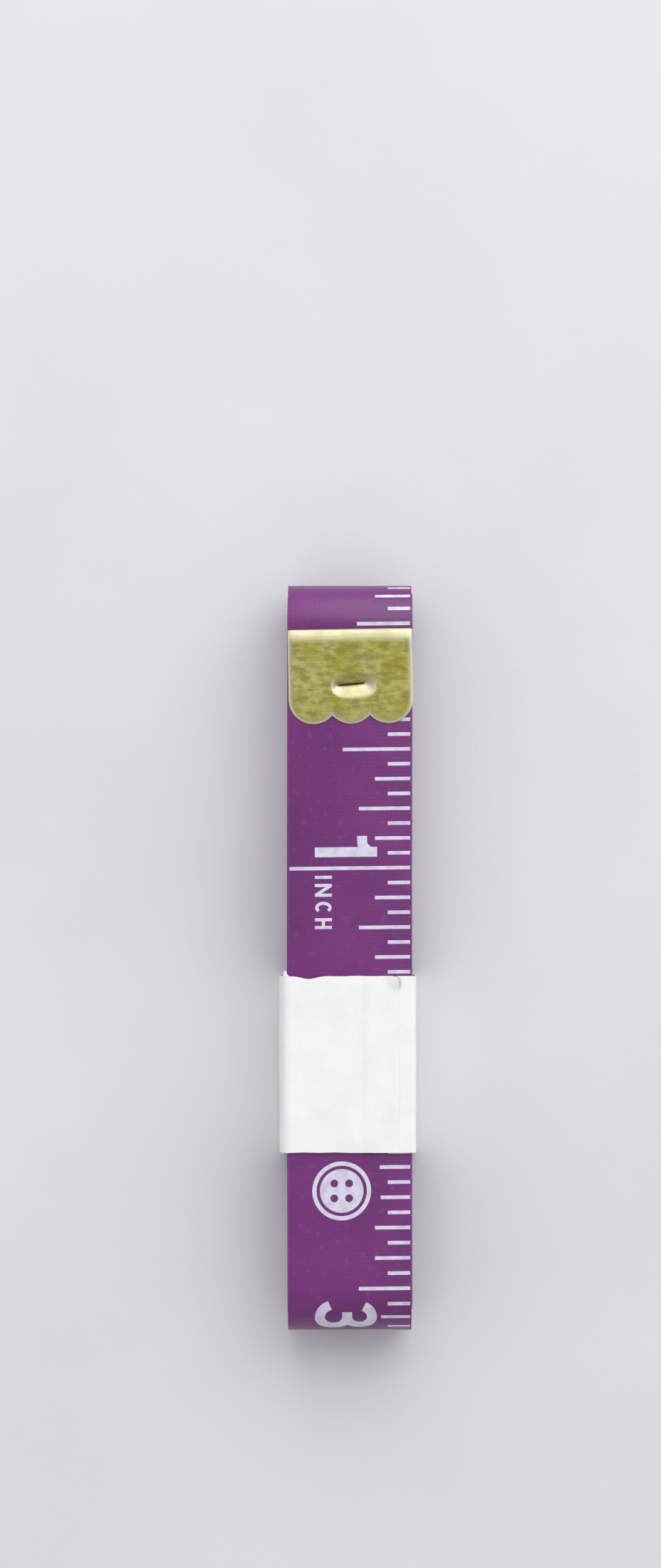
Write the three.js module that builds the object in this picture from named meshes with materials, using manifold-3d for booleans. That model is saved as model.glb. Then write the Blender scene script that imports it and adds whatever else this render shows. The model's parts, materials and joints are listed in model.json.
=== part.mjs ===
// A cloth sewing tape measure as it is sold: wound flat into a bundle, held by a paper band,
// with a folded brass clip on each end of the tape.
//
// Millimetres, +Z up. The bundle lies on its back. X runs across the tape, Y runs along the
// bundle towards the clip at the tape's zero end, and Z points out of the side that is read.
// The origin is the middle of the bundle's box on the surface that it lies on.

import * as THREE from "three";
import { mergeVertices } from "three/addons/utils/BufferGeometryUtils.js";
import Module from "manifold-3d";

// Driving dimensions of the tape and of the bundle that it is wound into
const TAPE_LENGTH = 1524;
const TAPE_WIDTH = 13;
const TAPE_THICKNESS = 0.3;
const TURN_GAP = 0.12;
const BUNDLE_LENGTH = 78.5;
const ZERO_INSET = 4.6;
const TAIL_LEAST = 16;
const TAIL_END_ROOM = 3;
const BEND_GAP = 0.1;

// Driving dimensions of a clip: folded sheet, with a scalloped edge and a lanced crater that locks it
const CLIP_LENGTH = 10;
const CLIP_SHEET = 0.22;
const CLIP_FIT = 0.05;
const CLIP_CLEARANCE = 0.1;
const CLIP_OVERHANG = 0.05;
const LOBE_COUNT = 3;
const LOBE_PITCH = 3.95;
const LANCE_FROM_FOLD = 6;
const LANCE_ASIDE = 0.35;
const LANCE_STRAIGHT = 1.9;
const LANCE_MOUTH_RADIUS = 1.45;
const LANCE_SLIT_RADIUS = 0.4;

// Driving dimensions of the paper band, a strip lapped on the side that is read
const BAND_HEIGHT = 18.7;
const BAND_FROM_LOW_END = 18.8;
const BAND_PAPER = 0.15;
const BAND_FACE_CLEARANCE = 0.12;
const BAND_SIDE_CLEARANCE = 0.3;
const BAND_CORNER = 0.45;
const BAND_LAP_START = 2.2;
const BAND_LAP_END = 5.2;
const BAND_LAP_RAMP = 0.8;
const BEND_FROM_BAND = 0.8;

// Fineness: half the number of steps along each round stretch, the reach of cutting solids past what
// they cut, and how near two corners lie when they are the same one
const FOLD_STEPS = 8;
const FINE_STEPS = 5;
const CUT_MARGIN = 1;
const WELD_DISTANCE = 1e-5;

// Sizes that follow from the driving dimensions
const halfTape = TAPE_THICKNESS / 2;
const turnPitch = TAPE_THICKNESS + TURN_GAP;
const clipBore = halfTape + CLIP_FIT;
const clipRadius = clipBore + CLIP_SHEET;
const clipWidth = TAPE_WIDTH + 2 * CLIP_OVERHANG;
const lobeRadius = clipWidth / 2 - (LOBE_PITCH * (LOBE_COUNT - 1)) / 2;
const leadLift = CLIP_FIT + CLIP_SHEET + CLIP_CLEARANCE - TURN_GAP;
const coreHeight = 2 * (clipRadius + CLIP_CLEARANCE + halfTape);
const tapeEndInset = CLIP_SHEET + CLIP_FIT;
const lanceHoleRadius = LANCE_MOUTH_RADIUS + CLIP_SHEET + CLIP_FIT;
const bundleBase = BAND_PAPER + BAND_FACE_CLEARANCE;
const zeroY = BUNDLE_LENGTH / 2 - ZERO_INSET;
const bandLowY = -BUNDLE_LENGTH / 2 + BAND_FROM_LOW_END;
const bandTopY = bandLowY + BAND_HEIGHT;
const bendY = bandTopY + BEND_FROM_BAND;

const wasm = await Module();
wasm.setup();

// A closed geometry as a solid that can be joined and cut
function solidOf(geometry) {
  const bare = geometry.clone();
  bare.deleteAttribute("normal");
  bare.deleteAttribute("uv");
  const merged = mergeVertices(bare, WELD_DISTANCE);
  return new wasm.Manifold(new wasm.Mesh({
    numProp: 3,
    vertProperties: new Float32Array(merged.attributes.position.array),
    triVerts: new Uint32Array(merged.index.array),
  }));
}

// The geometry of a joined or cut solid
function geometryOf(solid) {
  const mesh = solid.getMesh();
  const geometry = new THREE.BufferGeometry();
  geometry.setAttribute("position", new THREE.BufferAttribute(mesh.vertProperties, 3));
  geometry.setIndex(new THREE.BufferAttribute(mesh.triVerts, 1));
  geometry.computeVertexNormals();
  return geometry;
}

function extrude(shape, depth, steps) {
  return new THREE.ExtrudeGeometry(shape, { depth, bevelEnabled: false, curveSegments: steps });
}

// A shape drawn in (y, z), extruded across the tape and centred on x = 0
function extrudeAcross(shape, width, steps) {
  const geometry = extrude(shape, width, steps).translate(0, 0, -width / 2);
  const axes = new THREE.Matrix4().makeBasis(
    new THREE.Vector3(0, 1, 0),
    new THREE.Vector3(0, 0, 1),
    new THREE.Vector3(1, 0, 0),
  );
  return geometry.applyMatrix4(axes);
}

// The outline of a slot with round ends, its straight sides along x
function slotPoints(x, y, radius, straight) {
  const points = [];
  for (const side of [1, -1]) {
    for (let step = 0; step <= 2 * FINE_STEPS; step += 1) {
      const angle = ((step - FINE_STEPS) * Math.PI) / (2 * FINE_STEPS);
      points.push(new THREE.Vector2(
        x + side * (straight / 2 + radius * Math.cos(angle)),
        y + side * radius * Math.sin(angle),
      ));
    }
  }
  return points;
}

function slotPrism(x, y, radius, straight, lowZ, highZ) {
  const shape = new THREE.Shape(slotPoints(x, y, radius, straight));
  return extrude(shape, highZ - lowZ, FINE_STEPS).translate(0, 0, lowZ);
}

// A slot whose round ends grow from one radius to another between two heights
function slotFunnel(x, y, straight, lowZ, lowRadius, highZ, highRadius) {
  const ring = (radius, z) => slotPoints(x, y, radius, straight)
    .map((point) => new THREE.Vector3(point.x, point.y, z));
  const low = ring(lowRadius, lowZ);
  const high = ring(highRadius, highZ);
  const count = low.length;
  const triangles = [];
  for (let i = 0; i < count; i += 1) {
    const next = (i + 1) % count;
    triangles.push(low[i], low[next], high[next]);
    triangles.push(low[i], high[next], high[i]);
  }
  for (let i = 1; i < count - 1; i += 1) {
    triangles.push(low[0], low[i + 1], low[i]);
    triangles.push(high[0], high[i], high[i + 1]);
  }
  return new THREE.BufferGeometry().setFromPoints(triangles);
}

// The winding, leaf by leaf from the outside in. Even leaves lie on the front, odd ones on the
// back, and the last one, the tail, lies in the middle of the core with the far clip on it.
// Fold j is a half circle from leaf j to leaf j + 1. Inner turns are added until the tape is used up.
function windingOf(folds) {
  const depth = leadLift + (folds - 2) * turnPitch + coreHeight;
  const backZ = bundleBase + halfTape;
  const frontZ = backZ + depth;
  const level = (leaf) => {
    if (leaf === folds) {
      return (level(folds - 1) + level(folds - 2)) / 2;
    }
    if (leaf % 2 === 1) {
      return backZ + ((leaf - 1) / 2) * turnPitch;
    }
    return frontZ - (leaf > 0 ? leadLift : 0) - (leaf / 2) * turnPitch;
  };
  const foldRadius = (fold) => Math.abs(level(fold) - level(fold + 1)) / 2;
  const lowY = -BUNDLE_LENGTH / 2 + foldRadius(0) + halfTape;
  const highY = BUNDLE_LENGTH / 2 - foldRadius(1) - halfTape;
  const leafLength = highY - lowY;

  let used = zeroY - tapeEndInset - lowY + (folds - 1) * leafLength;
  for (let fold = 0; fold < folds; fold += 1) {
    used += Math.PI * foldRadius(fold);
  }
  // The innermost fold moves inwards where the tail would be too short to carry its clip.
  const spare = TAPE_LENGTH - used;
  const foldInset = Math.max(0, TAIL_LEAST - spare);
  const tailLength = spare + foldInset;

  const arcs = [];
  for (let fold = 0; fold < folds; fold += 1) {
    const inset = fold === folds - 1 ? foldInset : 0;
    const onLowEnd = fold % 2 === 0;
    arcs.push({
      y: onLowEnd ? lowY + inset : highY - inset,
      z: (level(fold) + level(fold + 1)) / 2,
      radius: foldRadius(fold),
      from: onLowEnd ? Math.PI / 2 : (3 * Math.PI) / 2,
      to: onLowEnd ? (3 * Math.PI) / 2 : (5 * Math.PI) / 2,
    });
  }
  const tailRunsUp = folds % 2 === 1;
  const tail = {
    y: arcs[folds - 1].y + (tailRunsUp ? tailLength : -tailLength),
    z: level(folds),
    runsUp: tailRunsUp,
  };
  return { folds, frontZ, leafLength, tailLength, arcs, tail };
}

function fittedWinding() {
  let folds = 2;
  let winding = windingOf(folds);
  while (winding.tailLength > winding.leafLength - TAIL_END_ROOM) {
    folds += 1;
    winding = windingOf(folds);
  }
  return winding;
}

const winding = fittedWinding();

// The least clear gap between turns of the tape, measured on points along its middle line
function leastTurnGap() {
  const line = [new THREE.Vector3(0, bendY, winding.frontZ)];
  for (const arc of winding.arcs) {
    for (let step = 0; step <= 2 * FOLD_STEPS; step += 1) {
      const angle = arc.from + ((arc.to - arc.from) * step) / (2 * FOLD_STEPS);
      line.push(new THREE.Vector3(
        0,
        arc.y + arc.radius * Math.cos(angle),
        arc.z + arc.radius * Math.sin(angle),
      ));
    }
  }
  line.push(new THREE.Vector3(0, winding.tail.y, winding.tail.z));
  const segment = new THREE.Line3();
  const nearest = new THREE.Vector3();
  let least = Infinity;
  for (let i = 0; i < line.length; i += 1) {
    for (let j = i + 2 * FOLD_STEPS; j < line.length - 1; j += 1) {
      segment.set(line[j], line[j + 1]);
      segment.closestPointToPoint(line[i], true, nearest);
      least = Math.min(least, nearest.distanceTo(line[i]) - TAPE_THICKNESS);
    }
  }
  return least;
}

// The wound tape in outline: out along the face that is read, back along the other face
function windingShape() {
  const { arcs, tail, frontZ } = winding;
  const outward = tail.runsUp ? -halfTape : halfTape;
  const shape = new THREE.Shape();
  shape.moveTo(bendY, frontZ + halfTape);
  for (const arc of arcs) {
    shape.absarc(arc.y, arc.z, arc.radius + halfTape, arc.from, arc.to, false);
  }
  shape.lineTo(tail.y, tail.z + outward);
  shape.lineTo(tail.y, tail.z - outward);
  for (const arc of [...arcs].reverse()) {
    shape.absarc(arc.y, arc.z, arc.radius - halfTape, arc.to, arc.from, true);
  }
  shape.lineTo(bendY, frontZ - halfTape);
  shape.closePath();
  return shape;
}

// A clip is drawn at the origin: its fold touches y = 0, its plates run along -y on both faces of
// a tape that lies on z = 0, and its crater opens towards +z.

// The folded sheet seen from its side
function clipFoldShape() {
  const shape = new THREE.Shape();
  shape.moveTo(-CLIP_LENGTH, clipRadius);
  shape.absarc(-clipRadius, 0, clipRadius, Math.PI / 2, -Math.PI / 2, true);
  shape.lineTo(-CLIP_LENGTH, -clipRadius);
  shape.lineTo(-CLIP_LENGTH, -clipBore);
  shape.absarc(-clipRadius, 0, clipBore, -Math.PI / 2, Math.PI / 2, false);
  shape.lineTo(-CLIP_LENGTH, clipBore);
  shape.closePath();
  return shape;
}

// The plates' outline: straight sides and a row of round lobes that meet in notches
function clipScallopShape() {
  const lobeY = -CLIP_LENGTH + lobeRadius;
  const notch = Math.acos(LOBE_PITCH / 2 / lobeRadius);
  const shape = new THREE.Shape();
  shape.moveTo(clipWidth / 2, CUT_MARGIN);
  for (let lobe = LOBE_COUNT - 1; lobe >= 0; lobe -= 1) {
    const x = (lobe - (LOBE_COUNT - 1) / 2) * LOBE_PITCH;
    const from = lobe === LOBE_COUNT - 1 ? 0 : -notch;
    const to = lobe === 0 ? -Math.PI : -Math.PI + notch;
    shape.absarc(x, lobeY, lobeRadius, from, to, true);
  }
  shape.lineTo(-clipWidth / 2, CUT_MARGIN);
  shape.closePath();
  return shape;
}

function clipGeometry() {
  const folded = solidOf(extrudeAcross(clipFoldShape(), clipWidth + CUT_MARGIN, FOLD_STEPS));
  const outlineDepth = 2 * (clipRadius + CUT_MARGIN);
  const outline = solidOf(extrude(clipScallopShape(), outlineDepth, FINE_STEPS)
    .translate(0, 0, -outlineDepth / 2));
  // The crater is the front plate's own sheet, driven through the tape and the back plate.
  const y = -LANCE_FROM_FOLD;
  const halfSheet = CLIP_SHEET / 2;
  const flare = (LANCE_MOUTH_RADIUS - LANCE_SLIT_RADIUS) / (2 * clipRadius);
  const wall = solidOf(slotFunnel(
    LANCE_ASIDE, y, LANCE_STRAIGHT,
    -clipRadius + halfSheet, LANCE_SLIT_RADIUS + CLIP_SHEET,
    clipRadius - halfSheet, LANCE_MOUTH_RADIUS + CLIP_SHEET,
  ));
  const crater = solidOf(slotFunnel(
    LANCE_ASIDE, y, LANCE_STRAIGHT,
    -clipRadius, LANCE_SLIT_RADIUS,
    clipRadius + CUT_MARGIN, LANCE_MOUTH_RADIUS + flare * CUT_MARGIN,
  ));
  const slit = solidOf(slotPrism(
    LANCE_ASIDE, y, LANCE_SLIT_RADIUS, LANCE_STRAIGHT, -clipRadius - CUT_MARGIN, clipRadius,
  ));
  const plates = folded.intersect(outline);
  return geometryOf(plates.add(wall).subtract(crater).subtract(slit));
}

// What is cut from a tape so that a clip's crater can pass through it
function lanceHole() {
  return slotPrism(
    LANCE_ASIDE, -LANCE_FROM_FOLD, lanceHoleRadius, LANCE_STRAIGHT, -clipRadius, clipRadius,
  );
}

// The stretch that lifts: from the bend above the band to the tape's end in the zero clip
function freeEndGeometry() {
  const lowY = bendY + BEND_GAP;
  const highY = zeroY - tapeEndInset;
  const strip = new THREE.BoxGeometry(TAPE_WIDTH, highY - lowY, TAPE_THICKNESS)
    .translate(0, (lowY + highY) / 2, winding.frontZ);
  const hole = lanceHole().translate(0, zeroY, winding.frontZ);
  return geometryOf(solidOf(strip).subtract(solidOf(hole)));
}

// Where the far clip sits: over the tail's end, with its crater on the tape's read side
function farClipPlace() {
  const { tail } = winding;
  const reach = tail.runsUp ? tapeEndInset : -tapeEndInset;
  const turn = tail.runsUp ? new THREE.Euler(0, Math.PI, 0) : new THREE.Euler(0, 0, Math.PI);
  return { position: new THREE.Vector3(0, tail.y + reach, tail.z), rotation: turn };
}

function windingGeometry() {
  const { position, rotation } = farClipPlace();
  const place = new THREE.Matrix4().makeRotationFromEuler(rotation).setPosition(position);
  const hole = lanceHole().applyMatrix4(place);
  const strip = extrudeAcross(windingShape(), TAPE_WIDTH, FOLD_STEPS);
  return geometryOf(solidOf(strip).subtract(solidOf(hole)));
}

// The band seen from its end, in (x, z): a ring round the bundle, doubled where its ends are lapped
function bandShape() {
  const bundleTop = winding.frontZ + halfTape;
  const boreHalf = TAPE_WIDTH / 2 + BAND_SIDE_CLEARANCE;
  const boreTop = bundleTop + BAND_FACE_CLEARANCE;
  const outerHalf = boreHalf + BAND_PAPER;
  const outerTop = boreTop + BAND_PAPER;

  const corners = (path, half, low, high, radius) => {
    path.absarc(-half + radius, high - radius, radius, Math.PI / 2, Math.PI, false);
    path.absarc(-half + radius, low + radius, radius, Math.PI, (3 * Math.PI) / 2, false);
    path.absarc(half - radius, low + radius, radius, (3 * Math.PI) / 2, 2 * Math.PI, false);
    path.absarc(half - radius, high - radius, radius, 0, Math.PI / 2, false);
    path.closePath();
  };
  const shape = new THREE.Shape();
  shape.moveTo(BAND_LAP_END, outerTop);
  shape.lineTo(BAND_LAP_END, outerTop + BAND_PAPER);
  shape.lineTo(BAND_LAP_START, outerTop + BAND_PAPER);
  shape.lineTo(BAND_LAP_START - BAND_LAP_RAMP, outerTop);
  corners(shape, outerHalf, 0, outerTop, BAND_CORNER);
  const bore = new THREE.Path();
  corners(bore, boreHalf, BAND_PAPER, boreTop, BAND_CORNER - BAND_PAPER);
  shape.holes.push(bore);
  return shape;
}

function bandGeometry() {
  const axes = new THREE.Matrix4().makeBasis(
    new THREE.Vector3(1, 0, 0),
    new THREE.Vector3(0, 0, 1),
    new THREE.Vector3(0, -1, 0),
  );
  return extrude(bandShape(), BAND_HEIGHT, FINE_STEPS).applyMatrix4(axes).translate(0, bandTopY, 0);
}

// Finishes, by the colours that the object shows
const purpleVinyl = () => new THREE.MeshStandardMaterial({ color: "#713279", roughness: 0.38 });
const brassPlate = () => new THREE.MeshStandardMaterial({
  color: "#c2b45c", roughness: 0.32, metalness: 1,
});
const whitePaper = () => new THREE.MeshStandardMaterial({ color: "#f6f8f7", roughness: 0.85 });

function named(name, geometry, material) {
  const mesh = new THREE.Mesh(geometry, material);
  mesh.name = name;
  return mesh;
}

// The wound tape, with the clip on its far end in the core of the winding
const woundTape = new THREE.Group();
woundTape.add(named("tape_winding", windingGeometry(), purpleVinyl()));
const farClip = named("far_end_clip", clipGeometry(), brassPlate());
const farPlace = farClipPlace();
farClip.position.copy(farPlace.position);
farClip.rotation.copy(farPlace.rotation);
woundTape.add(farClip);

// The free end of the same tape above the band, with the clip that its scale starts from
const freeEnd = new THREE.Group();
freeEnd.add(named("tape_free_end", freeEndGeometry(), purpleVinyl()));
const zeroClip = named("zero_end_clip", clipGeometry(), brassPlate());
zeroClip.position.set(0, zeroY, winding.frontZ);
freeEnd.add(zeroClip);

const tapeMeasure = new THREE.Group();
tapeMeasure.name = "tape_measure";
tapeMeasure.add(woundTape, freeEnd, named("paper_band", bandGeometry(), whitePaper()));

console.log(`tape of ${TAPE_LENGTH} mm in ${winding.folds} folds, tail ${winding.tailLength.toFixed(1)} mm`);
console.log(`bundle ${(winding.frontZ + halfTape - bundleBase).toFixed(2)} mm thick without its band`);
console.log(`least gap between turns ${leastTurnGap().toFixed(3)} mm`);
console.log(`bend line at y ${bendY.toFixed(2)}, z ${(winding.frontZ + halfTape).toFixed(2)}`);

export default tapeMeasure;
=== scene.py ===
# %% [markdown]
# # A sewing tape measure, wound flat and banded
#
# The object is one strip of purple coated cloth with an inch scale printed on it. It is wound flat into
# a bundle, each of its ends carries a folded brass clip, and a paper band holds the bundle together.
# This lesson makes what a viewer sees of it, in the frame of the solid model: X runs across the tape,
# Y along the bundle towards the clip at zero, and Z out of the side that is read.
#
# Each piece could be modelled where it lies, fold by fold. It is easier to work as the maker does: cut a
# flat strip, print it, punch it, and only then wind it up. So tape, print and paper are drawn flat, and
# a few lines of code bend them.

# %% Load the solid model as a frame
import bisect
import json
import math

import bmesh
import bpy
from mathutils import Matrix, Vector, noise
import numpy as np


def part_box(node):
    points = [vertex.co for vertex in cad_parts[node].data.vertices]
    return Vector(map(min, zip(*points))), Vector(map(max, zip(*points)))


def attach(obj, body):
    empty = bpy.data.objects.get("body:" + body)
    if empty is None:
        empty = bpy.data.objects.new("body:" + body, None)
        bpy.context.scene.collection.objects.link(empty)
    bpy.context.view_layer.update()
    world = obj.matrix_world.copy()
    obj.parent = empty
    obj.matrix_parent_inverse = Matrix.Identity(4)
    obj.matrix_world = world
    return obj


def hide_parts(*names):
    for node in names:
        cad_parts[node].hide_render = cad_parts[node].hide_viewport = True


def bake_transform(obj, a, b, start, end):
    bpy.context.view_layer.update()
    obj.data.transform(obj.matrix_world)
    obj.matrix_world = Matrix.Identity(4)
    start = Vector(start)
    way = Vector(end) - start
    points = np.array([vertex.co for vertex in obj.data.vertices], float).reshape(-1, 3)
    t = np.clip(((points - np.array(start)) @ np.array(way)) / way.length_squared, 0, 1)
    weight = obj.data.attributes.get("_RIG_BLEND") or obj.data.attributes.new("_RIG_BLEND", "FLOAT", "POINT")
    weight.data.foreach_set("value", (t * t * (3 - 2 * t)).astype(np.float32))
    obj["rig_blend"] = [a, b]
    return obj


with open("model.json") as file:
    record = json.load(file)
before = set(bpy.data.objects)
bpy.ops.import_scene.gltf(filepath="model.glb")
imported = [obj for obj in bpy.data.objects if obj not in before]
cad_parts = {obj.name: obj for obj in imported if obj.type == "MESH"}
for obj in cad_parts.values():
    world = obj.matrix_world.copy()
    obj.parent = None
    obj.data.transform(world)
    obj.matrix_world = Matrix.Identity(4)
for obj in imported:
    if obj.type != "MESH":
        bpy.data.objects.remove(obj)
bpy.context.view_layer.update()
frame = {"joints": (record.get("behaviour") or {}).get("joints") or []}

# %% [markdown]
# ## Sizes
#
# The scene could repeat the sizes of the solid model as numbers, but then the two could drift apart, so
# they are read from the boxes of the solids. Mesh operators lose precision on things a hundredth of a
# millimetre high when the unit is the metre. Each piece is therefore built in millimetres, and is
# brought to metres once, when it becomes an object.

# %% Read the sizes in millimetres
MM = 0.001


def box_mm(node):
    """The lowest and the highest corner of a solid."""
    low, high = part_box(node)
    return low / MM, high / MM


wound_low, wound_high = box_mm("tape_winding")
leaf_low, leaf_high = box_mm("tape_free_end")
clip_low, clip_high = box_mm("zero_end_clip")
far_low, far_high = box_mm("far_end_clip")
band_low, band_high = box_mm("paper_band")
hinge = next(Vector(j["pos_m"]) / MM for j in frame["joints"] if j["name"] == "free_end_lift")

tape_width = leaf_high.x - leaf_low.x
tape_thickness = leaf_high.z - leaf_low.z
leaf_z = (leaf_low.z + leaf_high.z) / 2
zero_y = clip_high.y
print(f"tape {tape_width:.1f} mm wide, {tape_thickness:.2f} mm thick, zero at y {zero_y:.2f} mm")

# %% [markdown]
# ## Two helpers for every piece
#
# A modifier can stay live on its object, or be worked out at once. Here it is worked out, because the
# next step needs the finished mesh: a hole is cut before the tape is wound. In the end the mesh is
# scaled to metres and becomes an object that sits at the origin, with its place in its mesh, so that a
# pattern on object coordinates can't slide.

# %% Work out modifiers, and make an object
def settled(bm, *modifiers):
    """The mesh with these modifiers worked out, each given as its type and a dict of settings."""
    mesh = bpy.data.meshes.new("unsettled")
    bm.to_mesh(mesh)
    bm.free()
    holder = bpy.data.objects.new("unsettled", mesh)
    bpy.context.scene.collection.objects.link(holder)
    for kind, settings in modifiers:
        modifier = holder.modifiers.new(kind.lower(), kind)
        for key, value in settings.items():
            setattr(modifier, key, value)
    depsgraph = bpy.context.evaluated_depsgraph_get()
    result = bpy.data.meshes.new_from_object(holder.evaluated_get(depsgraph))
    finished = bmesh.new()
    finished.from_mesh(result)
    bpy.data.objects.remove(holder)
    bpy.data.meshes.remove(mesh)
    bpy.data.meshes.remove(result)
    return finished


def to_object(bm, name, sharp_degrees=35):
    """An object from a mesh in millimetres, smooth but for its sharp edges."""
    bmesh.ops.scale(bm, vec=(MM, MM, MM), verts=bm.verts)
    mesh = bpy.data.meshes.new(name)
    bm.to_mesh(mesh)
    bm.free()
    mesh.shade_smooth()
    mesh.set_sharp_from_angle(angle=math.radians(sharp_degrees))
    piece = bpy.data.objects.new(name, mesh)
    bpy.context.scene.collection.objects.link(piece)
    print(f"{name}: {len(mesh.polygons)} faces")
    return piece


# %% [markdown]
# ## A route for anything that is folded
#
# The tape and the paper band are flat strips that go round corners. A Curve modifier could bend them,
# but it offers no say over the tilt at a tight fold, and it can't tell how long the bent strip is. A
# route can: it is a chain of straight runs and round turns in one plane, and it answers one question.
# Where is the point at this distance, and which way does the strip head there?

# %% The route
ROUNDING = 1e-6


class Route:
    """A chain of straight runs and round turns in a plane. Turns to the left are positive."""

    def __init__(self, start, heading):
        self.end = Vector(start)
        self.heading = Vector(heading)
        self.length = 0.0
        self.runs = []

    def straight(self, length):
        self._add(length, 0.0)

    def turn(self, radius, angle):
        self._add(radius * abs(angle), math.copysign(1 / radius, angle))

    def _add(self, length, bend):
        self.runs.append((self.length, self.end, self.heading, bend))
        self.length += length
        self.end, self.heading = self.at(self.length)

    def at(self, distance):
        """The point at a distance along the route, and the heading there."""
        index = max(0, bisect.bisect_right(self.runs, distance, key=lambda run: run[0]) - 1)
        start, point, heading, bend = self.runs[index]
        distance -= start
        if bend == 0:
            return point + heading * distance, heading
        turn = Matrix.Rotation(bend * distance, 2)
        left = Vector((-heading.y, heading.x))
        return point + (left - turn @ left) / bend, turn @ heading

    def stations(self, first, last, longest_step, step_degrees):
        """Distances from first to last, close together in the turns and further apart between them."""
        found = [first]
        starts = [run[0] for run in self.runs] + [self.length]
        for run, start, stop in zip(self.runs, starts, starts[1:]):
            low, high = max(start, first), min(stop, last)
            if high <= low:
                continue
            finest = math.radians(step_degrees) / abs(run[3]) if run[3] else longest_step
            count = math.ceil((high - low) / min(longest_step, finest) - ROUNDING)
            found += [low + (high - low) * (i + 1) / count for i in range(count)]
        return found


# %% [markdown]
# ## How the tape is wound
#
# The free end lies on the front. From there the tape goes round the low end, along the back, round the
# high end and under itself, one pitch further in on every lap, until its far end lies in the core. A
# formula for a spiral would give a round coil, and this bundle is flat: its two ends are sets of half
# circles with a common centre, so that each lap keeps the same gap, and between them all is straight.
# The first lap stands a little higher, to leave room for the clip that is folded over its end.

# %% The route of the winding
TAPE_LENGTH = 1524.0
FOLDS = 19
TURN_GAP = 0.12
LEAD_LIFT = 0.25
CLIP_WALL = 0.27

turn_pitch = tape_thickness + TURN_GAP
back_z = wound_low.z + tape_thickness / 2


def leaf_level(leaf):
    """How high a leaf of the winding lies. Even leaves are on the front, odd ones on the back."""
    if leaf == FOLDS:
        return (leaf_level(FOLDS - 1) + leaf_level(FOLDS - 2)) / 2
    if leaf % 2:
        return back_z + leaf // 2 * turn_pitch
    return leaf_z - (LEAD_LIFT if leaf else 0) - leaf // 2 * turn_pitch


fold_radii = [abs(leaf_level(i) - leaf_level(i + 1)) / 2 for i in range(FOLDS)]
low_fold_y = wound_low.y + fold_radii[0] + tape_thickness / 2
high_fold_y = wound_high.y - fold_radii[1] - tape_thickness / 2

winding = Route((zero_y, leaf_z), (-1, 0))
winding.straight(zero_y - low_fold_y)
for radius in fold_radii:
    winding.turn(radius, math.pi)
    winding.straight(high_fold_y - low_fold_y)
tape_start = CLIP_WALL
tape_end = CLIP_WALL + TAPE_LENGTH
end_to_end = tape_end + CLIP_WALL
print(f"{FOLDS} folds, the outer one {fold_radii[0]:.2f} mm in radius")

# %% [markdown]
# ## Winding by hand
#
# A hand-wound tape isn't perfect: inner laps stray a tenth of a millimetre to the side and press on
# each other unevenly. The outermost lap, with the clip and the scale that is read, lies true. Cloth
# simulation can't keep twenty layers apart that lie so close, so the disorder is a few slow waves.
#
# Flat things are drawn as the tape would lie on a table: x across it, y from its zero end towards
# minus, z up from its middle. `wind` then takes every vertex to its place in the bundle.

# %% Bend flat things along the winding
TRUE_LENGTH = 170.0
SETTLING_LENGTH = 200.0
SIDEWAYS = 0.12
SIDEWAYS_WAVES = ((0.65, 61.0), (0.35, 23.0))
SLACK = 0.03
SLACK_WAVE = 9.0


def smooth_step(value):
    """0 below 0, 1 above 1, and a smooth climb between."""
    value = min(1.0, max(0.0, value))
    return value * value * (3 - 2 * value)


def wind(bm):
    """Take a mesh from the flat tape to the bundle."""
    for vertex in bm.verts:
        across, along, height = vertex.co.x, -vertex.co.y, vertex.co.z
        loose = smooth_step((along - TRUE_LENGTH) / SETTLING_LENGTH)
        stray = sum(share * math.sin(along / wave) for share, wave in SIDEWAYS_WAVES)
        slack = SLACK * loose * math.sin(along / SLACK_WAVE)
        place, heading = winding.at(along)
        out = Vector((heading.y, -heading.x)) * (height + slack)
        vertex.co = (across + SIDEWAYS * loose * stray, place.x + out.x, place.y + out.y)


# %% [markdown]
# ## The strip of tape
#
# The tape is woven cloth with a coat on both faces, slit to its width. A plane with a Solidify modifier
# would do for its shape, but its slit edges show bare threads and need a finish of their own. So the
# strip starts as its cut end, a rectangle with slightly rounded corners, and the outline of that end is
# extruded from station to station.

# %% A flat strip
EDGE_ROUND = 0.06


def corners_of(made):
    """The vertices that an operator has made."""
    return [item for item in made["geom"] if isinstance(item, bmesh.types.BMVert)]


def free_edges_of(made):
    """The edges that an operator has made and that have only one face so far."""
    return [item for item in made["geom"] if isinstance(item, bmesh.types.BMEdge) and item.is_boundary]


def flat_strip(stations):
    bm = bmesh.new()
    across = Matrix.Rotation(math.radians(90), 4, "X")
    section = Matrix.Diagonal((tape_width, 1, tape_thickness, 1)) @ across
    place = Matrix.Translation((0, -stations[0], 0))
    bmesh.ops.create_grid(bm, x_segments=1, y_segments=1, size=0.5, matrix=place @ section)
    bmesh.ops.bevel(
        bm, geom=bm.verts[:], offset=EDGE_ROUND, segments=2, profile=0.5, affect="VERTICES", material=-1
    )
    ring = bm.edges[:]
    for near, far in zip(stations, stations[1:]):
        made = bmesh.ops.extrude_edge_only(bm, edges=ring)
        bmesh.ops.translate(bm, verts=corners_of(made), vec=(0, near - far, 0))
        ring = free_edges_of(made)
    bmesh.ops.edgeloop_fill(bm, edges=ring)
    bmesh.ops.recalc_face_normals(bm, faces=bm.faces)
    return bm


# %% [markdown]
# ## A hole at each end
#
# Each clip is locked by a crater that was punched through the tape, so each end has an oval hole. It
# could be left out where the clip hides it, but then two solids would lie in each other. It is a
# boolean cut, made while the strip is still flat, because a cutter for bent cloth would have to be bent
# too. The far end is the near end turned half round on the table, so one cutter serves for both.

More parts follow.
